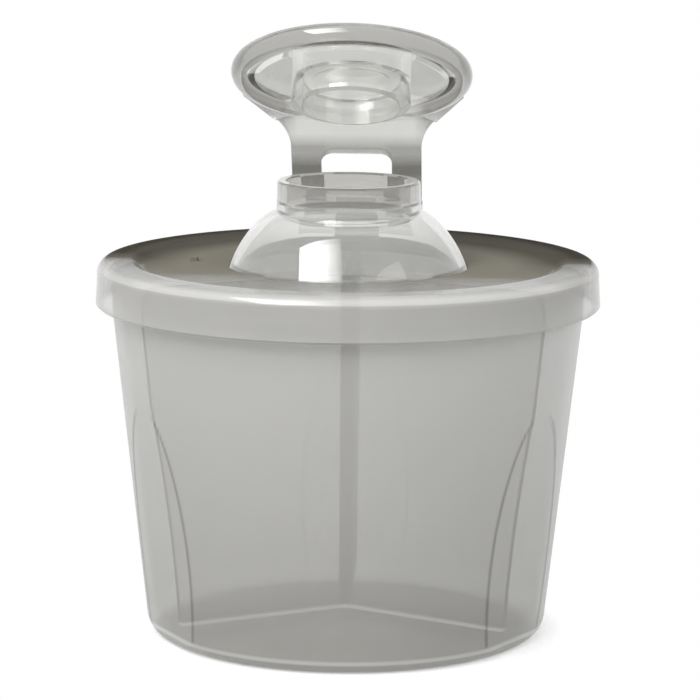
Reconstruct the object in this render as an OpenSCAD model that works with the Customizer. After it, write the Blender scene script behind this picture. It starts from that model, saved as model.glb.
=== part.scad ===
// Three-compartment powder dispenser: a tapered cup, a lift-out divider,
// a turning lid with a pouring spout, and a hinged cap that plugs the spout.
// Units are millimetres, +Z is up, the origin is the centre of the cup's base.
// Front is -Y and the cap's hinge is at the back, +Y.

/* [Cup] */
// outer radius that the tapered wall would have at the table
cup_foot_r = 41.6; // [38:0.1:45]
// outer radius at the straight rim
cup_rim_r = 49.1; // [46:0.1:54]
// height of the rim's top edge
cup_h = 75.4; // [68:0.2:90]
// height of the straight band at the rim
rim_band_h = 7; // [6:0.5:9]
// wall thickness
cup_wall = 1.8; // [1.4:0.1:2.4]
// radius of the rounded bottom edge
cup_corner_r = 4; // [3:0.5:6]
// floor thickness
cup_floor_t = 2.4; // [1.8:0.1:3]
// depth of the hollow under the floor
cup_punt = 1.4; // [0.8:0.1:2]
// how far the guide bead stands out of the rim
rim_bead = 0.4; // [0.2:0.05:0.5]

/* [Flutes] */
// deepest point of each flute in the wall
flute_depth = 1.6; // [0.8:0.1:1.8]
// height of the deepest point
flute_z = 18; // [14:1:24]
// half the length of a flute along the wall
flute_half = 33; // [26:1:36]

/* [Divider] */
// thickness of a vane
vane_t = 1.4; // [1.2:0.1:2]
// radius of the hub where the vanes meet
hub_r = 1.5; // [1.2:0.1:3]
// gap between the divider and the cup all round
divider_clear = 0.3; // [0.2:0.05:0.5]
// rounding of each vane's outer top corner
vane_round = 2; // [1:0.5:4]

/* [Lid] */
// gap between the rim's top and the lid's underside
lid_gap = 0.3; // [0.2:0.05:0.6]
// thickness of the lid's floor
lid_floor_t = 1.6; // [1.2:0.1:2.2]
// wall of the skirt
lid_wall = 2.2; // [1.6:0.1:2.4]
// gap between the cup's rim and the skirt
skirt_clear = 1.3; // [1:0.1:1.4]
// depth of the dish below the rim's crest
dish_depth = 1.3; // [0.8:0.1:1.8]
// height of the skirt from its lower edge to the crest
skirt_h = 9.3; // [8:0.1:11]
// outer rounding of the rim
rim_round = 2.6; // [2.5:0.1:3.4]
// width of the rim's flat crest
rim_flat = 4; // [3:0.5:5]
// width of the port's opening in degrees
port_deg = 100; // [80:2:106]

/* [Spout] */
// outer radius of the mouth
mouth_r = 14.9; // [13:0.1:16]
// outer radius of the dome's foot
dome_r = 25.1; // [22:0.1:26]
// height of the mouth above the lid's floor
spout_h = 17.8; // [16:0.1:22]
// height of the dome, up to the foot of the neck
dome_h = 11.3; // [9:0.1:12]
// wall of the lip at the mouth
lip_wall = 2.05; // [1.8:0.05:2.3]
// wall of the dome and of the neck below the lip
spout_wall = 1.7; // [1.4:0.1:1.8]
// height of the thicker lip
lip_h = 4.4; // [4.2:0.1:5]

/* [Cap] */
// outer radius of the cap's rolled rim
cap_r = 25.4; // [23:0.1:27]
// radius of the rolled rim's section
roll_r = 2.4; // [1.8:0.1:2.6]
// thickness of the cap's plate
plate_t = 1.8; // [1.4:0.1:2.2]
// gap between the closed cap and the mouth
seat_gap = 0.1; // [0.05:0.05:0.3]
// gap between the plug and the lip
plug_clear = 0.25; // [0.2:0.05:0.5]
// length of the plug ring
plug_len = 5.6; // [3:0.1:6]
// wall of the plug ring
plug_wall = 2.3; // [2.2:0.1:2.8]
// how far the plug's back is cut away so that it swings past the lip
plug_relief = 1.75; // [1.7:0.05:1.9]
// half the width of the cap's tail
tail_half = 14.2; // [13:0.1:15]
// half the width of the finger window in the tail
window_half = 7.7; // [6.8:0.1:8.4]
// length of the solid part of the tail between the window and the cap
tail_bridge = 9.6; // [6:0.1:11]
// how much wider the tail is at the cap, on each side
flare_w = 3; // [2:0.1:4]
// length of the tail over which it widens
flare_h = 8; // [6:0.5:10]
// thickness of the tail
tail_t = 2.6; // [2:0.1:3]
// angle at which the cap stands open
cap_open = 26; // [0:1:110]

/* [Hinge] */
// distance of the hinge axis from the edge of the lid
hinge_inset = 5.6; // [4.8:0.1:7]
// height of the hinge axis above the lid's floor
hinge_up = 5.3; // [5:0.1:6.5]
// radius of the hinge knuckles
knuckle_r = 2.5; // [2.2:0.1:2.8]
// radius of the cap's stub pins
pin_r = 1.2; // [1:0.05:1.4]
// radial gap of a stub pin in its bore
pin_clear = 0.05; // [0.03:0.01:0.08]
// half the width of the lid's hinge lug
lug_half = 5.3; // [4.8:0.1:5.6]
// gap between the lug and each knuckle
lug_clear = 0.3; // [0.2:0.05:0.5]

/* [Hidden] */
$fn = 96;
eps = 0.01;
// cup wall slope and its stretch
taper_h = cup_h - rim_band_h;
slope = (cup_rim_r - cup_foot_r) / taper_h;
lean = atan(slope);
stretch = sqrt(1 + slope * slope);
cup_floor_z = cup_punt + cup_floor_t;
rim_in_r = cup_rim_r - cup_wall;
function wall_r(z) = cup_foot_r + slope * z;
// flute: a wide cylinder laid across each vane's place on the wall
flute_r = (flute_half * flute_half + flute_depth * flute_depth) / (2 * flute_depth);
flute_at = wall_r(flute_z) + (flute_r - flute_depth) * cos(lean);
flute_up = flute_z - (flute_r - flute_depth) * sin(lean);
vane_angles = [90, 210, 330];
// lid levels and radii
lid_r = cup_rim_r + skirt_clear + lid_wall;
floor_z = cup_h + lid_gap + lid_floor_t;
crest_z = floor_z + dish_depth;
skirt_z = crest_z - skirt_h;
skirt_flare = 0.3;
crest_r = lid_r - skirt_flare - rim_round;
flat_r = crest_r - rim_flat;
dish_r = flat_r - 3;
vane_top = floor_z - lid_floor_t - divider_clear;
// spout levels and radii
mouth_z = floor_z + spout_h;
neck_r = mouth_r + 0.15;
lip_in_r = mouth_r - lip_wall;
neck_in_r = neck_r - spout_wall;
dome_in_r = dome_r - 2;
// hinge and cap
hinge_y = lid_r - hinge_inset;
hinge_z = floor_z + hinge_up;
seat_z = mouth_z + seat_gap;
plug_r = lip_in_r - plug_clear;
plug_lean = atan((plug_relief + 0.5) / (plug_len + plate_t));
roll_z = seat_z + 1.7;
tail_y = cap_r - 1.5;
tail_z = seat_z + 1.3;
tail_len = norm([hinge_y - tail_y, tail_z - hinge_z]);
tail_deg = atan2(tail_z - hinge_z, hinge_y - tail_y);
window_top = tail_len - tail_bridge;
window_round = 2.6;
// flare: the tail widens towards the cap, and a web runs on from it to touch the cap's rim
flare_r = (flare_h * flare_h + flare_w * flare_w) / (2 * flare_w);
web_end = tail_half + flare_w + 0.3;
web_y = cap_r - 1.2;
web_r = cap_r - 0.3;
web_turn = atan2(web_y, web_end) - acos(web_r / norm([web_end, web_y]));
web_half = web_r * cos(web_turn);
web_low = web_r * sin(web_turn);
knuckle_in = lug_half + lug_clear;
pin_len = lug_half - 1;

smoke = [0.70, 0.70, 0.68];
clear_smoke = [0.78, 0.78, 0.77];

// points on an arc, for profiles that are turned
function arc(cx, cz, r, a0, a1, n) = [
    for (i = [0 : n]) let (a = a0 + (a1 - a0) * i / n) [cx + r * cos(a), cz + r * sin(a)]
];

// solid of revolution of the tapered wall, drawn in by inset, from z0 up to z1
module tapered(inset, z0, corner, z1) {
    shift = inset * stretch;
    cx = wall_r(z0 + corner) - shift - corner * stretch;
    rotate_extrude()
        polygon(concat(
            [[0, z0]],
            arc(cx, z0 + corner, corner, -90, -lean, 8),
            [[cup_rim_r - shift, taper_h], [cup_rim_r - shift, z1], [0, z1]]
        ));
}

// the three flutes, as solids to take away; grow thickens them inwards
module flutes(grow) {
    for (a = vane_angles)
        rotate([0, 0, a])
            translate([flute_at, 0, flute_up])
                rotate([90, 0, 0])
                    cylinder(r = flute_r + grow, h = 60, center = true, $fn = 256);
}

// the space inside the cup, drawn in by gap
module cup_space(gap) {
    difference() {
        tapered(cup_wall + gap, cup_floor_z + gap, max(cup_corner_r - cup_wall, 1), cup_h + 2);
        flutes(cup_wall + gap);
    }
}

module cup() {
    color(smoke)
        difference() {
            union() {
                difference() {
                    tapered(0, 0, cup_corner_r, cup_h);
                    flutes(0);
                }
                // guide bead that the turning skirt runs on
                rotate_extrude()
                    translate([cup_rim_r - 0.6 + rim_bead, cup_h - 3])
                        circle(r = 0.6);
            }
            cup_space(0);
            // hollow under the floor, leaving a foot ring
            translate([0, 0, -eps])
                cylinder(r1 = cup_foot_r - 6.4, r2 = cup_foot_r - 7.8, h = cup_punt + eps);
        }
}

module divider() {
    color(smoke)
        intersection() {
            union() {
                cylinder(r = hub_r, h = vane_top);
                for (a = vane_angles)
                    rotate([0, 0, a])
                        translate([0, -vane_t / 2, 0])
                            cube([cup_rim_r, vane_t, vane_top]);
            }
            cup_space(divider_clear);
            // outer top corners eased so that the lid turns over them
            rotate_extrude()
                polygon(concat(
                    [[0, 0], [cup_rim_r, 0], [cup_rim_r, vane_top - 6]],
                    arc(rim_in_r - 1 - vane_round, vane_top - vane_round, vane_round, 0, 90, 6),
                    [[0, vane_top]]
                ));
        }
}

module lid_profile() {
    wall_top = crest_z - rim_round;
    s_steps = 10;
    polygon(concat(
        [[0, floor_z - lid_floor_t], [rim_in_r - 2.6, floor_z - lid_floor_t]],
        [[rim_in_r - 1.6, floor_z - lid_floor_t + 0.25]],
        arc(crest_r, wall_top, rim_round - lid_wall, 90, 0, 6),
        [[lid_r - lid_wall - 0.05, skirt_z + 2.1]],
        [[lid_r - lid_wall - 0.5, skirt_z + 1.7], [lid_r - lid_wall - 0.5, skirt_z + 0.5]],
        [[lid_r - lid_wall - 0.1, skirt_z], [lid_r - 0.4, skirt_z], [lid_r, skirt_z + 0.4]],
        arc(crest_r, wall_top, rim_round, 0, 90, 12),
        [for (i = [0 : s_steps]) let (t = i / s_steps)
            [flat_r + (dish_r - flat_r) * t, floor_z + dish_depth * (0.5 + 0.5 * cos(180 * t))]],
        [[0, floor_z]]
    ));
}

// ring sector in the floor under the spout: the way out of one compartment
module port() {
    reach = dome_in_r * 2;
    half = port_deg / 2;
    translate([0, 0, floor_z - lid_floor_t - 1])
        linear_extrude(height = lid_floor_t + 2)
            intersection() {
                difference() {
                    circle(r = dome_in_r - 1.2);
                    circle(r = 4);
                }
                polygon([
                    [0, 0],
                    [-reach * sin(half), -reach * cos(half)],
                    [0, -reach * 2],
                    [reach * sin(half), -reach * cos(half)]
                ]);
            }
}

module lid() {
    color(smoke)
        difference() {
            union() {
                rotate_extrude() lid_profile();
                // hinge lug on the rim at the back
                translate([0, hinge_y, hinge_z])
                    rotate([0, 90, 0])
                        cylinder(r = knuckle_r, h = 2 * lug_half, center = true);
                translate([-lug_half, hinge_y - knuckle_r, floor_z - 0.1])
                    cube([2 * lug_half, 2 * knuckle_r, hinge_up + 0.1]);
                // index pip for lining up with a compartment
                translate([-(dish_r - 9.5), 2.4, floor_z - 0.2])
                    cube([1.4, 2.4, 1]);
            }
            port();
            translate([0, hinge_y, hinge_z])
                rotate([0, 90, 0])
                    cylinder(r = pin_r + pin_clear, h = 2 * lug_half + 2, center = true);
        }
}

// dome outline from its foot to the neck; f is the foot's radius, n the neck's, h the height
function dome_pts(f, n, h, steps) = [
    for (i = [0 : steps]) let (t = 1 - i / steps)
        [n + (f - n) * t, floor_z + h * (1 - pow(t, 1.72))]
];
function back_to_front(list) = [for (i = [len(list) - 1 : -1 : 0]) list[i]];

module spout() {
    color(clear_smoke)
        rotate_extrude()
            polygon(concat(
                dome_pts(dome_r, neck_r, dome_h, 14),
                [[mouth_r, mouth_z - 0.4], [mouth_r - 0.4, mouth_z]],
                [[lip_in_r + 0.3, mouth_z], [lip_in_r, mouth_z - 0.3]],
                [[lip_in_r, mouth_z - lip_h], [neck_in_r, mouth_z - lip_h - 0.5]],
                back_to_front(dome_pts(dome_in_r, neck_in_r, dome_h - 1.2, 14))
            ));
}

// the tail seen from its face: u runs from the hinge axis to the cap's plate
module tail_face() {
    difference() {
        union() {
            translate([-tail_half, 0])
                square([2 * tail_half, tail_len]);
            difference() {
                translate([-(tail_half + flare_w), tail_len - flare_h])
                    square([2 * (tail_half + flare_w), flare_h + 0.6]);
                for (s = [-1, 1])
                    translate([s * (tail_half + flare_r), tail_len - flare_h])
                        circle(r = flare_r);
            }
        }
        translate([-window_half, -1])
            square([2 * window_half, window_top - window_round + 1]);
        translate([-(window_half - window_round), -1])
            square([2 * (window_half - window_round), window_top + 1]);
        for (s = [-1, 1])
            translate([s * (window_half - window_round), window_top - window_round])
                circle(r = window_round);
    }
}

module cap_closed() {
    // plate with its rolled rim and the slope between them
    rotate_extrude()
        union() {
            translate([0, seat_z])
                square([cap_r - roll_r, plate_t]);
            translate([cap_r - roll_r, roll_z])
                circle(r = roll_r, $fn = 48);
            polygon([
                [cap_r - roll_r - 4.4, seat_z + plate_t / 2],
                [cap_r - roll_r - 4.4, seat_z],
                [cap_r - roll_r - 0.4, roll_z - roll_r + 0.05],
                [cap_r - roll_r, roll_z]
            ]);
        }
    // plug ring, relieved at the back
    difference() {
        intersection() {
            translate([0, 0, seat_z - plug_len])
                cylinder(r = plug_r, h = plug_len + plate_t / 2);
            translate([0, 0, seat_z + plate_t])
                rotate([-plug_lean, 0, 0])
                    cylinder(r = (plug_r + 0.5) * cos(plug_lean), h = 4 * plug_len, center = true);
        }
        translate([0, 0, seat_z - plug_len - 1])
            cylinder(r = plug_r - plug_wall, h = plug_len + 1);
    }
    // low boss inside the plug
    translate([0, 0, seat_z - 0.4])
        cylinder(r = plug_r - plug_wall - 2, h = 0.4 + plate_t / 2);
    // web that blends the plate into the tail
    translate([0, 0, seat_z + 0.1])
        linear_extrude(height = tail_t + 0.3)
            difference() {
                polygon([[-web_half, web_low], [web_half, web_low], [web_end, web_y], [-web_end, web_y]]);
                circle(r = cap_r - 1.65 * roll_r);
            }
    // tail down to the hinge
    translate([0, hinge_y, hinge_z])
        rotate([-tail_deg, 0, 0])
            rotate([180, 0, 0])
                translate([0, 0, -tail_t / 2])
                    linear_extrude(height = tail_t)
                        tail_face();
    // knuckles and stub pins
    for (s = [-1, 1])
        translate([0, hinge_y, hinge_z])
            rotate([0, 90 * s, 0]) {
                translate([0, 0, knuckle_in])
                    cylinder(r = knuckle_r, h = tail_half + 0.2 - knuckle_in);
                translate([0, 0, lug_half - pin_len])
                    cylinder(r = pin_r, h = pin_len + lug_clear + 1);
            }
}

module cap() {
    color(clear_smoke)
        translate([0, hinge_y, hinge_z])
            rotate([-cap_open, 0, 0])
                translate([0, -hinge_y, -hinge_z])
                    cap_closed();
}

cup();
divider();
lid();
spout();
cap();
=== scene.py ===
import math

import bpy
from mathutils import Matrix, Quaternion, Vector


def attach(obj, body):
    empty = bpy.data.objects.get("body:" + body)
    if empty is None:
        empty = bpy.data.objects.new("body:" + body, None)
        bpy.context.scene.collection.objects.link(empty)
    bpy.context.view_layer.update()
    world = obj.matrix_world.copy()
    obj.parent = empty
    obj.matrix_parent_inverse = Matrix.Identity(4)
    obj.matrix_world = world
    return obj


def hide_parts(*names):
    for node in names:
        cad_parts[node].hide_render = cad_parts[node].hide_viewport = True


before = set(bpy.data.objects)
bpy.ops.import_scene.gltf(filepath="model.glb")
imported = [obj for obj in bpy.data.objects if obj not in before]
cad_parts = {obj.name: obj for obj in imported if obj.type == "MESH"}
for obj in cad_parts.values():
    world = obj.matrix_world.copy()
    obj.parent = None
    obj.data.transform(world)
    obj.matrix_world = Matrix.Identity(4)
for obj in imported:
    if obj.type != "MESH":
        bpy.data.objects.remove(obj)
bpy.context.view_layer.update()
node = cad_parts
scene = bpy.context.scene
scene.view_settings.view_transform = "Standard"

MM = 0.001

# cup, in millimetres and degrees, with the sizes of its solid
CUP_H = 75.4
RIM_R = 49.1
FOOT_R = 41.6
BAND_H = 7.0
WALL = 1.8
CORNER = 4.0
FLOOR_T = 2.4
PUNT = 1.4
PUNT_R = FOOT_R - 7.8
PUNT_SLOPE = 1.4
PUNT_EASE_OUT = 0.3
PUNT_EASE_UP = 0.25
BEAD = 0.4
BEAD_R = 0.6
BEAD_DOWN = 3.0
EDGE = 0.4
EDGE_EASE = 0.3 * EDGE
FLUTE_D = 1.6
FLUTE_Z = 18.0
FLUTE_HALF = 33.0
FLUTE_R = (FLUTE_HALF ** 2 + FLUTE_D ** 2) / (2 * FLUTE_D)
VANES = (90.0, 210.0, 330.0)
TAPER_H = CUP_H - BAND_H
SLOPE = (RIM_R - FOOT_R) / TAPER_H
LEAN = math.atan(SLOPE)
STRETCH = math.sqrt(1 + SLOPE * SLOPE)

# cup mesh: steps along the profile and round it, in millimetres and degrees
CORNER_STEPS = 10
TAPER_STEPS = 54
BEAD_STEPS = 12
UNDER_STEPS = 4
FLOOR_SHARES = (0.97, 0.9, 0.6, 0.3, 0.0001)
AXIS_R = 0.001
FINE_STEP = 0.36
FINE_HALF = 19.0
COARSE_STEP = 1.2
LAST_ANGLE = 359.9

# rounding of the flutes' edges and the painted shade lines along them, in millimetres and degrees
FLUTE_ROUND = 0.12
LINE_W = 0.45
LINE_FROM_Z = 3.5
LINE_LEAST_TILT = 0.09
LINE_STARTS = 3.0
LINE_GROWS = 4.0

# middle and axis of the open cap, from its hinge in millimetres; the results are in metres
HINGE_Y = 47.0
HINGE_Z = 82.6
OPEN = math.radians(26)
CAP_AT = (0.0, HINGE_Y * (1 - math.cos(OPEN)) * MM, (HINGE_Z + HINGE_Y * math.sin(OPEN)) * MM)
CAP_AXIS = (0.0, math.sin(OPEN), math.cos(OPEN))

# tones of the plastics
CUP_LOW = (0.335, 0.331, 0.308)
CUP_HIGH = (0.535, 0.531, 0.508)
# painted highlight on the foot's rounded corner
CUP_FOOT_HIGHLIGHT = (0.80, 0.797, 0.77)
# painted shade along the flutes' edges
CUP_CREASE_SHADE = (0.10, 0.097, 0.087)
VANE_FACE = (0.44, 0.437, 0.415)
# painted shade at the sheets' ends, hub and foot
VANE_EDGE_SHADE = (0.08, 0.077, 0.068)
# painted highlight along the vanes' foot
VANE_FOOT_HIGHLIGHT = (0.92, 0.92, 0.90)
DOME_LOW = (0.75, 0.75, 0.73)
# painted reflection on the dome's shoulder
DOME_SHOULDER_REFLECTION = (0.92, 0.92, 0.905)
NECK_BAND = (0.58, 0.575, 0.55)
CAP_PLATE = (0.93, 0.93, 0.915)
CAP_RIM = (0.30, 0.295, 0.275)
CAP_LEGS = (0.25, 0.248, 0.23)
LID_SKIRT = (0.385, 0.382, 0.362)
# painted light on the lid's near rim
LID_NEAR_RIM_LIGHT = (0.56, 0.557, 0.535)
# painted shade in the lid's dish, near and far
DISH_NEAR_SHADE = (0.165, 0.156, 0.130)
DISH_FAR_SHADE = (0.026, 0.023, 0.015)
SMOKE = (0.50, 0.505, 0.46)
SMOKE_DENSITY = 40.0

# noise patterns as scale and detail, and the part of the noise that is used
FLOW_CLOUD = (38.0, 4.0)
SKIN_WEAR = (160.0, 3.0)
SKIN_GRAIN = (1400.0, 2.0)
GLASS_CLOUD = (45.0, 3.0)
GLASS_WEAR = (150.0, 3.0)
GLASS_RIPPLE = (260.0, 2.0)
NOISE_SPAN = (0.3, 0.7)

# how much shows of a surface
CUP_INSIDE_ALPHA = 0.14
CUP_SKIN_ALPHA = 0.58
CUP_CREASE_SHADE_ALPHA = 0.80
VANE_FACE_ALPHA = 0.26
VANE_EDGE_ALPHA = 0.95
LID_ALPHA = 0.45
LID_SKIN_ALPHA = 0.64
LID_LINING_LESS = 0.29
DISH_ALPHA = 0.94

CLEAR_IOR = 1.22
COAT_IOR = 1.65


# helpers for shader nodes

def new_material(name):
    material = bpy.data.materials.new(name)
    material.use_nodes = True
    nt = material.node_tree
    return material, nt, nt.nodes["Principled BSDF"]


def link(nt, a, b):
    nt.links.new(a, b)


def position(nt):
    """The place on the piece, in metres."""
    return nt.nodes.new("ShaderNodeTexCoord").outputs["Object"]


def split(nt, vector):
    parts = nt.nodes.new("ShaderNodeSeparateXYZ")
    link(nt, vector, parts.inputs[0])
    return parts.outputs["X"], parts.outputs["Y"], parts.outputs["Z"]


def noise(nt, coord, scale, detail):
    n = nt.nodes.new("ShaderNodeTexNoise")
    n.inputs["Scale"].default_value = scale
    n.inputs["Detail"].default_value = detail
    link(nt, coord, n.inputs["Vector"])
    return n.outputs["Fac"]


def attribute(nt, name):
    a = nt.nodes.new("ShaderNodeAttribute")
    a.attribute_name = name
    return a.outputs["Fac"]


def ramp(nt, value, span, ends):
    """Maps the span to the two ends and holds them beyond it."""
    r = nt.nodes.new("ShaderNodeMapRange")
    r.inputs["From Min"].default_value = span[0]
    r.inputs["From Max"].default_value = span[1]
    r.inputs["To Min"].default_value = ends[0]
    r.inputs["To Max"].default_value = ends[1]
    link(nt, value, r.inputs["Value"])
    return r.outputs["Result"]


def rise(nt, value, start, end, low=0.0, high=1.0):
    """Goes from low to high between two places in millimetres."""
    return ramp(nt, value, (start * MM, end * MM), (low, high))


def fall(nt, value, start, end, high=1.0):
    """Goes from high to 0 between two places in millimetres."""
    return ramp(nt, value, (start * MM, end * MM), (high, 0.0))


def two_tone(nt, fac, a, b):
    mix = nt.nodes.new("ShaderNodeMix")
    mix.data_type = "RGBA"
    mix.inputs["A"].default_value = (*a, 1)
    mix.inputs["B"].default_value = (*b, 1)
    link(nt, fac, mix.inputs["Factor"])
    return mix.outputs["Result"]


def bump(nt, height, strength, distance):
    b = nt.nodes.new("ShaderNodeBump")
    b.inputs["Strength"].default_value = strength
    b.inputs["Distance"].default_value = distance
    link(nt, height, b.inputs["Height"])
    return b.outputs["Normal"]


def maths(nt, how, a, b=None):
    t = nt.nodes.new("ShaderNodeMath")
    t.operation = how
    for i, v in enumerate((a, b)):
        if isinstance(v, float):
            t.inputs[i].default_value = v
        elif v is not None:
            link(nt, v, t.inputs[i])
    return t.outputs[0]


def times(nt, first, *others):
    for other in others:
        first = maths(nt, "MULTIPLY", first, other)
    return first


def most(nt, a, b):
    return maths(nt, "MAXIMUM", a, b)


def vmaths(nt, how, a, b=None):
    t = nt.nodes.new("ShaderNodeVectorMath")
    t.operation = how
    for i, v in enumerate((a, b)):
        if isinstance(v, tuple):
            t.inputs[i].default_value = v
        elif v is not None:
            link(nt, v, t.inputs[i])
    return t.outputs["Value"] if how in ("LENGTH", "DOT_PRODUCT") else t.outputs["Vector"]


def over(nt, p, fac, colour):
    """Lays a second colour over the base colour where fac is 1."""
    mix = nt.nodes.new("ShaderNodeMix")
    mix.data_type = "RGBA"
    if isinstance(colour, tuple):
        mix.inputs["B"].default_value = (*colour, 1)
    else:
        link(nt, colour, mix.inputs["B"])
    link(nt, p.inputs["Base Color"].links[0].from_socket, mix.inputs["A"])
    link(nt, fac, mix.inputs["Factor"])
    link(nt, mix.outputs["Result"], p.inputs["Base Color"])


def shade(colour, k):
    return tuple(v * k for v in colour)


def clouded(nt, p, cloud, colour, low, high):
    """Lets the base colour wander between two shades of one colour."""
    fac = ramp(nt, cloud, NOISE_SPAN, (0, 1))
    link(nt, two_tone(nt, fac, shade(colour, low), shade(colour, high)), p.inputs["Base Color"])


def moulded(name, colour, rough, grain):
    """Moulded plastic with faint flow clouding and a fine skin; its alpha is set by the caller."""
    material, nt, p = new_material(name)
    xyz = position(nt)
    clouded(nt, p, noise(nt, xyz, *FLOW_CLOUD), colour, 0.96, 1.04)
    wear = ramp(nt, noise(nt, xyz, *SKIN_WEAR), NOISE_SPAN, (rough * 0.9, rough * 1.12))
    link(nt, wear, p.inputs["Roughness"])
    link(nt, bump(nt, noise(nt, xyz, *SKIN_GRAIN), grain, 0.0001), p.inputs["Normal"])
    return material, nt, p


def glassy(name, tint, rough, clear):
    """Clear smoke-tinted plastic with a little flow ripple."""
    material, nt, p = new_material(name)
    xyz = position(nt)
    clouded(nt, p, noise(nt, xyz, *GLASS_CLOUD), tint, 0.975, 1.02)
    wear = ramp(nt, noise(nt, xyz, *GLASS_WEAR), NOISE_SPAN, (rough * 0.85, rough * 1.2))
    link(nt, wear, p.inputs["Roughness"])
    link(nt, bump(nt, noise(nt, xyz, *GLASS_RIPPLE), 0.05, 0.0002), p.inputs["Normal"])
    p.inputs["Transmission Weight"].default_value = clear
    p.inputs["IOR"].default_value = CLEAR_IOR
    p.inputs["Coat Weight"].default_value = 1.0
    p.inputs["Coat Roughness"].default_value = 0.03
    p.inputs["Coat IOR"].default_value = COAT_IOR
    smoke = nt.nodes.new("ShaderNodeVolumeAbsorption")
    smoke.inputs["Color"].default_value = (*SMOKE, 1)
    smoke.inputs["Density"].default_value = SMOKE_DENSITY
    link(nt, smoke.outputs[0], nt.nodes["Material Output"].inputs["Volume"])
    return material, nt, p


# materials of the five pieces, with the places of their tones in millimetres

def cup_material():
    """Paler towards the rim, with a painted highlight ring at the foot and painted shade lines along the
    flutes' edges.
    """
    material, nt, p = moulded("cup_plastic", CUP_LOW, rough=0.33, grain=0.02)
    _, _, z = split(nt, position(nt))
    crease_shade = attribute(nt, "crease_shade")
    upper = rise(nt, z, 0.0, 66.0)
    # painted highlight: a pale ring at the top of the foot's rounded corner, where light glints
    painted_foot_highlight = times(nt, rise(nt, z, 1.8, 2.3, high=0.6), fall(nt, z, 2.6, 3.2))
    over(nt, p, upper, CUP_HIGH)
    over(nt, p, painted_foot_highlight, CUP_FOOT_HIGHLIGHT)
    # painted shade: dark lines along the flutes' edges
    over(nt, p, times(nt, crease_shade, 0.9), CUP_CREASE_SHADE)
    # the outer skin holds most of the tint, so the wall stays full towards its outline
    wall = ramp(nt, attribute(nt, "skin"), (0, 1), (CUP_INSIDE_ALPHA, CUP_SKIN_ALPHA))
    link(nt, most(nt, wall, times(nt, crease_shade, CUP_CREASE_SHADE_ALPHA)), p.inputs["Alpha"])
    return material


def vane_material():
    """Painted shade darkens the hub and edges, as the ends of clear sheets read darker, and the sheet
    just above its foot; a painted highlight makes a pale line at the foot.
    """
    material, nt, p = moulded("vane_plastic", VANE_FACE, rough=0.34, grain=0.05)
    coord = nt.nodes.new("ShaderNodeTexCoord").outputs
    _, _, z = split(nt, coord["Object"])
    across = vmaths(nt, "NORMALIZE", vmaths(nt, "CROSS_PRODUCT", (0.0, 0.0, 1.0), coord["Object"]))
    facing = maths(nt, "ABSOLUTE", vmaths(nt, "DOT_PRODUCT", across, coord["Normal"]))
    # painted shade: darker at the sheets' ends and hub, and in a fading band above the foot
    edge = most(nt, ramp(nt, facing, (0.2, 0.9), (1, 0)), fall(nt, z, 4.6, 9.5, high=0.7))
    # painted highlight: a pale line along the foot
    vane_foot_highlight = fall(nt, z, 4.7, 5.1)
    over(nt, p, edge, VANE_EDGE_SHADE)
    over(nt, p, vane_foot_highlight, VANE_FOOT_HIGHLIGHT)
    shown = ramp(nt, most(nt, edge, vane_foot_highlight), (0, 1), (VANE_FACE_ALPHA, VANE_EDGE_ALPHA))
    link(nt, shown, p.inputs["Alpha"])
    return material


def spout_material():
    """The dome's shoulder is paler than its foot, a painted reflection of the bright surround, and the
    neck's band reads deeper.
    """
    material, nt, p = glassy("spout_plastic", DOME_LOW, rough=0.03, clear=0.89)
    _, _, z = split(nt, position(nt))
    painted_shoulder_reflection = rise(nt, z, 80.5, 86.5)
    neck = rise(nt, z, 89.5, 91.5)
    # painted reflection: the shoulder paler, as if mirroring the bright surround
    over(nt, p, painted_shoulder_reflection, DOME_SHOULDER_REFLECTION)
    over(nt, p, neck, NECK_BAND)
    return material


def cap_material():
    """The rolled rim and the tail's legs are the thickest to look through, so they read darkest."""
    material, nt, p = glassy("cap_plastic", CAP_PLATE, rough=0.03, clear=0.86)
    xyz = position(nt)
    x, y, _ = split(nt, xyz)
    away = vmaths(nt, "SUBTRACT", xyz, CAP_AT)
    reach = vmaths(nt, "LENGTH", vmaths(nt, "CROSS_PRODUCT", CAP_AXIS, away))
    legs = times(nt, rise(nt, y, 36.5, 38.5), fall(nt, y, 42.5, 44.5))
    flare = times(nt, rise(nt, maths(nt, "ABSOLUTE", x), 12.5, 15.5), fall(nt, y, 30.0, 36.0))
    round_part = most(nt, flare, fall(nt, y, 18.0, 25.0))
    rim = times(nt, rise(nt, reach, 22.2, 24.0), round_part)
    over(nt, p, rim, CAP_RIM)
    over(nt, p, legs, CAP_LEGS)
    return material


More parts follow.
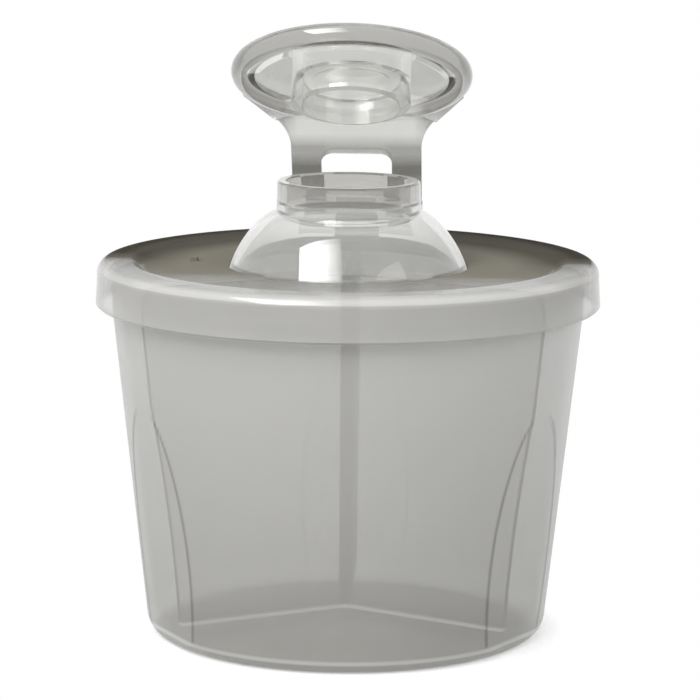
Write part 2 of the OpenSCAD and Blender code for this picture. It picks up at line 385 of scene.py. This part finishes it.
def lid_material():
    """Pale skirt and rim with a gloss coat, painted light on the near rim, and painted shade in the dish.
    """
    material, nt, p = moulded("lid_plastic", LID_SKIRT, rough=0.33, grain=0.03)
    xyz = position(nt)
    _, y, z = split(nt, xyz)
    radius = vmaths(nt, "LENGTH", vmaths(nt, "MULTIPLY", xyz, (1.0, 1.0, 0.0)))

    # painted shade in the dish: its floor and the far part of the rim, outside the dome, weaker at the
    # front and darkest far back
    dish_floor = fall(nt, radius, 42.4, 44.6)
    far_rim = times(nt, fall(nt, radius, 50.5, 52.0), rise(nt, y, -18.0, -2.0))
    above_floor = rise(nt, z, 76.7, 77.0)
    below_crest = fall(nt, z, 79.0, 79.5)
    outside_dome = rise(nt, radius, 24.2, 25.0)
    front = rise(nt, y, -40.0, -14.0, low=0.25)
    dish_shade = times(nt, most(nt, dish_floor, far_rim), above_floor, below_crest, outside_dome, front)
    shade_depth = times(nt, rise(nt, radius, 34.0, 48.0), rise(nt, y, -12.0, 6.0))
    # painted light: the near rim paler, where light from the skirt shows through the dish's shallow inner
    # slope
    painted_near_rim_light = times(nt, fall(nt, y, -30.0, -8.0), rise(nt, radius, 44.0, 46.2), above_floor)
    over(nt, p, painted_near_rim_light, LID_NEAR_RIM_LIGHT)
    over(nt, p, dish_shade, two_tone(nt, shade_depth, DISH_NEAR_SHADE, DISH_FAR_SHADE))

    # the skirt's outer skin holds most of the tint and its lining little
    skin = rise(nt, radius, 50.8, 51.7, LID_ALPHA, LID_SKIN_ALPHA)
    lining = times(nt, fall(nt, radius, 50.6, 51.0, LID_LINING_LESS), fall(nt, z, 73.0, 75.0))
    wall = maths(nt, "SUBTRACT", skin, lining)
    link(nt, most(nt, wall, times(nt, dish_shade, DISH_ALPHA)), p.inputs["Alpha"])

    # the coat alone makes the gloss, and the dish has none
    link(nt, ramp(nt, dish_shade, (0, 1), (1, 0)), p.inputs["Coat Weight"])
    p.inputs["Specular IOR Level"].default_value = 0.0
    p.inputs["Coat Roughness"].default_value = 0.06
    p.inputs["Coat IOR"].default_value = COAT_IOR
    return material


# the cup, turned in one piece with its three flutes

def wall_r(z):
    return FOOT_R + SLOPE * z


FLUTE_AT = wall_r(FLUTE_Z) + (FLUTE_R - FLUTE_D) * math.cos(LEAN)
FLUTE_UP = FLUTE_Z - (FLUTE_R - FLUTE_D) * math.sin(LEAN)


def clamp(v):
    return max(0.0, min(1.0, v))


def soft_min(a, b, k):
    h = clamp(0.5 + 0.5 * (b - a) / k)
    return b + (a - b) * h - k * h * (1 - h)


def from_vane(a):
    """Angle between direction a and the nearest vane, in degrees."""
    return min(abs((a - v + 180) % 360 - 180) for v in VANES)


def flute_limit(z, a, grow):
    """How far out the wall may reach along direction a at height z."""
    out = FLUTE_AT - math.sqrt((FLUTE_R + grow) ** 2 - (z - FLUTE_UP) ** 2)
    return out / math.cos(math.radians(from_vane(a)))


def flute_shade_line(z, a, gap):
    """Strength of the painted shade line along a flute's edge, where gap is the wall's distance from the
    flute.
    """
    if z <= LINE_FROM_Z:
        return 0.0
    off = gap / max(math.tan(math.radians(from_vane(a))), LINE_LEAST_TILT)
    return math.exp(-(off / LINE_W) ** 2) * clamp((from_vane(a) - LINE_STARTS) / LINE_GROWS)


def arc(cx, cz, r, a0, a1, n):
    turns = [math.radians(a0 + (a1 - a0) * i / n) for i in range(n + 1)]
    return [(cx + r * math.cos(t), cz + r * math.sin(t)) for t in turns]


def line(p0, p1, n):
    shares = [i / n for i in range(1, n + 1)]
    return [(p0[0] + (p1[0] - p0[0]) * s, p0[1] + (p1[1] - p0[1]) * s) for s in shares]


def tapered(inset, z0, corner):
    """Profile of the tapered wall from its foot to the straight rim."""
    shift = inset * STRETCH
    cx = wall_r(z0 + corner) - shift - corner * STRETCH
    pts = arc(cx, z0 + corner, corner, -90, -math.degrees(LEAN), CORNER_STEPS)
    return pts + line(pts[-1], (RIM_R - shift, TAPER_H), TAPER_STEPS)


def bead_profile():
    pts = []
    for i in range(BEAD_STEPS + 1):
        up = BEAD_R * (2 * i / BEAD_STEPS - 1)
        bulge = math.sqrt(max(0.0, BEAD_R ** 2 - up ** 2)) - BEAD_R + BEAD
        pts.append((RIM_R + max(0.0, bulge), CUP_H - BEAD_DOWN + up))
    return pts


def foot_profile():
    """The hollow under the cup, from the axis out to the ring it stands on."""
    pts = [(AXIS_R, PUNT)] + line((AXIS_R, PUNT), (PUNT_R, PUNT), UNDER_STEPS)
    pts.append((PUNT_R + PUNT_EASE_OUT, PUNT - PUNT_EASE_UP))
    pts.append((PUNT_R + PUNT_SLOPE - PUNT_EASE_OUT, PUNT_EASE_UP))
    pts.append((PUNT_R + PUNT_SLOPE, 0.0))
    return pts


def edge_profile(r, side):
    """Eased edge of the rim, read upwards; side is -1 on the outside and 1 on the inside."""
    return [(r, CUP_H - EDGE), (r + side * EDGE_EASE, CUP_H - EDGE_EASE), (r + side * EDGE, CUP_H)]


def cup_rows():
    """Profile points from below to inside: radius, height, growth of the flutes or None, outer skin."""
    outer = tapered(0, 0, CORNER)
    inner = tapered(WALL, PUNT + FLOOR_T, max(CORNER - WALL, 1))
    floor_r, floor_z = inner[0]
    top = bead_profile() + edge_profile(RIM_R, -1)
    rim = edge_profile(inner[-1][0], 1)
    floor = [(floor_r * share, floor_z) for share in FLOOR_SHARES]
    rows = [(r, z, None, 1.0) for r, z in foot_profile()]
    rows += [(r, z, 0.0, 1.0) for r, z in outer]
    rows += [(r, z, None, 1.0) for r, z in top]
    rows += [(r, z, None, 0.0) for r, z in reversed(rim)]
    rows += [(r, z, WALL, 0.0) for r, z in reversed(inner)]
    rows += [(r, z, WALL, 0.0) for r, z in floor]
    return rows


def fine_angles():
    """Directions round the cup, closer together across the flutes."""
    angles = []
    a = 0.0
    while a < LAST_ANGLE:
        angles.append(a)
        a += FINE_STEP if from_vane(a) < FINE_HALF else COARSE_STEP
    return angles


def ring_faces(rows, n):
    """Quads between neighbouring rings of n points."""
    faces = []
    for j in range(rows - 1):
        for i in range(n):
            k = (i + 1) % n
            faces.append((j * n + i, j * n + k, (j + 1) * n + k, (j + 1) * n + i))
    return faces


def cup_mesh():
    rows = cup_rows()
    angles = fine_angles()
    verts = []
    crease_shades = []
    skins = []
    for r, z, grow, skin in rows:
        for a in angles:
            out = r
            shade_mark = 0.0
            if grow is not None:
                limit = flute_limit(z, a, grow)
                out = soft_min(r, limit, FLUTE_ROUND)
                # strength of the painted shade line along the flute's edge
                shade_mark = flute_shade_line(z, a, abs(limit - r)) if grow == 0 else 0.0
            crease_shades.append(shade_mark)
            skins.append(skin)
            t = math.radians(a)
            verts.append((out * math.cos(t) * MM, out * math.sin(t) * MM, z * MM))
    mesh = bpy.data.meshes.new("cup_shell")
    mesh.from_pydata(verts, [], ring_faces(len(rows), len(angles)))
    mesh.update()
    for f in mesh.polygons:
        f.use_smooth = True
    mesh.attributes.new("crease_shade", "FLOAT", "POINT").data.foreach_set("value", crease_shades)
    mesh.attributes.new("skin", "FLOAT", "POINT").data.foreach_set("value", skins)
    return mesh


cup = bpy.data.objects.new("cup_shell", cup_mesh())
scene.collection.objects.link(cup)
cup.data.materials.append(cup_material())
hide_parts("cup")
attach(cup, "cup")


# the other solids: smooth shading and their materials

WELD = 2e-6
SHARP = math.radians(28)


def smooth_tree():
    """Joins the faces of a solid's mesh and shades all but its sharp edges smooth."""
    g = bpy.data.node_groups.new("smooth_solid", "GeometryNodeTree")
    g.interface.new_socket("Geometry", in_out="INPUT", socket_type="NodeSocketGeometry")
    g.interface.new_socket("Geometry", in_out="OUTPUT", socket_type="NodeSocketGeometry")
    weld = g.nodes.new("GeometryNodeMergeByDistance")
    weld.inputs["Distance"].default_value = WELD
    drop = g.nodes.new("GeometryNodeRemoveAttribute")
    drop.inputs["Name"].default_value = "custom_normal"
    face = g.nodes.new("GeometryNodeSetShadeSmooth")
    edge = g.nodes.new("GeometryNodeSetShadeSmooth")
    edge.domain = "EDGE"
    angle = g.nodes.new("GeometryNodeInputMeshEdgeAngle")
    low = g.nodes.new("FunctionNodeCompare")
    low.operation = "LESS_THAN"
    low.inputs["B"].default_value = SHARP
    chain = (g.nodes.new("NodeGroupInput"), weld, drop, face, edge, g.nodes.new("NodeGroupOutput"))
    for before, after in zip(chain, chain[1:]):
        g.links.new(before.outputs[0], after.inputs[0])
    g.links.new(angle.outputs["Unsigned Angle"], low.inputs["A"])
    g.links.new(low.outputs["Result"], edge.inputs["Shade Smooth"])
    return g


tree = smooth_tree()
looks = {
    "divider": vane_material(),
    "lid": lid_material(),
    "spout": spout_material(),
    "cap": cap_material(),
}
for name, material in looks.items():
    solid = node[name]
    solid.data.materials.clear()
    solid.data.materials.append(material)
    solid.modifiers.new("smooth", "NODES").node_group = tree
    solid.modifiers.new("weighted", "WEIGHTED_NORMAL").keep_sharp = True


# floor, which shows only close to the foot and keeps the shadow there; its disc is in metres

DISC_R = 0.9
DISC_SIDES = 96
DISC_DROP = 0.00002


def floor_material():
    material, nt, p = new_material("floor_white")
    p.inputs["Base Color"].default_value = (0.95, 0.95, 0.95, 1)
    p.inputs["Roughness"].default_value = 0.9
    p.inputs["Specular IOR Level"].default_value = 0.0
    near = fall(nt, vmaths(nt, "LENGTH", position(nt)), 37.0, 46.0)
    link(nt, near, p.inputs["Alpha"])
    return material


turns = [math.tau * i / DISC_SIDES for i in range(DISC_SIDES)]
ring = [(DISC_R * math.cos(t), DISC_R * math.sin(t), 0) for t in turns]
floor_mesh = bpy.data.meshes.new("floor")
floor_mesh.from_pydata(ring, [], [tuple(range(DISC_SIDES))])
floor_mesh.materials.append(floor_material())
floor_obj = bpy.data.objects.new("floor", floor_mesh)
floor_obj.location.z = -DISC_DROP
scene.collection.objects.link(floor_obj)


# light: a white surround and two softboxes, in metres, degrees and watts

SURROUND_LIT = 0.70
SURROUND_SEEN = 1.0
LAMPS_AIM_Z = 0.06


def surround():
    """A white world, dimmer as a light than where it is seen, mirrored or looked at through a piece."""
    world = bpy.data.worlds.new("studio")
    scene.world = world
    world.use_nodes = True
    nt = world.node_tree
    background = nt.nodes["Background"]
    background.inputs["Color"].default_value = (1, 1, 1, 1)
    path = nt.nodes.new("ShaderNodeLightPath").outputs
    seen = most(nt, path["Is Camera Ray"], path["Is Glossy Ray"])
    seen = most(nt, seen, path["Is Transmission Ray"])
    strength = ramp(nt, seen, (0, 1), (SURROUND_LIT, SURROUND_SEEN))
    link(nt, strength, background.inputs["Strength"])


def softbox(name, az, el, dist, size, power, spin=0.0):
    """A rectangular lamp that looks at the middle of the container."""
    lamp = bpy.data.lights.new(name, "AREA")
    lamp.shape = "RECTANGLE"
    lamp.size, lamp.size_y = size
    lamp.energy = power
    o = bpy.data.objects.new(name, lamp)
    a = math.radians(az)
    e = math.radians(el)
    away = Vector((math.sin(a) * math.cos(e), -math.cos(a) * math.cos(e), math.sin(e)))
    o.location = Vector((0, 0, LAMPS_AIM_Z)) + away * dist
    o.rotation_mode = "QUATERNION"
    o.rotation_quaternion = (-away).to_track_quat("-Z", "Y") @ Quaternion((0, 0, 1), math.radians(spin))
    scene.collection.objects.link(o)
    return o


def fade_across(lamp, span, ends):
    """Lets a lamp fade across its width, so that its reflection has one soft side."""
    lamp.use_nodes = True
    nt = lamp.node_tree
    x, _, _ = split(nt, nt.nodes.new("ShaderNodeNewGeometry").outputs["Parametric"])
    link(nt, ramp(nt, x, span, ends), nt.nodes["Emission"].inputs["Strength"])


surround()
key = softbox("key", az=-31, el=48, dist=1.1, size=(0.66, 0.90), power=11.5, spin=30)
fade_across(key.data, span=(0.4, 1.0), ends=(1.5, 0.15))
fill = softbox("fill", az=55, el=35, dist=1.6, size=(0.9, 0.9), power=7.5)
fill.visible_glossy = False


# camera, where the photograph was taken from; metres, and millimetres for lens and sensor

SENSOR = 36
LENS = 179.6
TURN = math.radians(2.5)
ROLL = math.radians(0.4)
AIM_Z = 0.0593
AIM_RIGHT = 0.0005
STAND_BACK = 0.721
STAND_UP = 0.1245

cam_data = bpy.data.cameras.new("camera")
cam_data.sensor_width = SENSOR
cam_data.lens = LENS
cam_data.clip_start = 0.05
cam_data.clip_end = 50
cam = bpy.data.objects.new("camera", cam_data)
scene.collection.objects.link(cam)
right = Vector((math.cos(TURN), math.sin(TURN), 0))
spot = Vector((0, 0, AIM_Z)) + right * AIM_RIGHT
cam.location = spot + Vector((math.sin(TURN) * STAND_BACK, -math.cos(TURN) * STAND_BACK, STAND_UP))
cam.rotation_mode = "QUATERNION"
facing = (spot - cam.location).to_track_quat("-Z", "Y")
cam.rotation_quaternion = facing @ Quaternion((0, 0, 1), ROLL)
scene.camera = cam
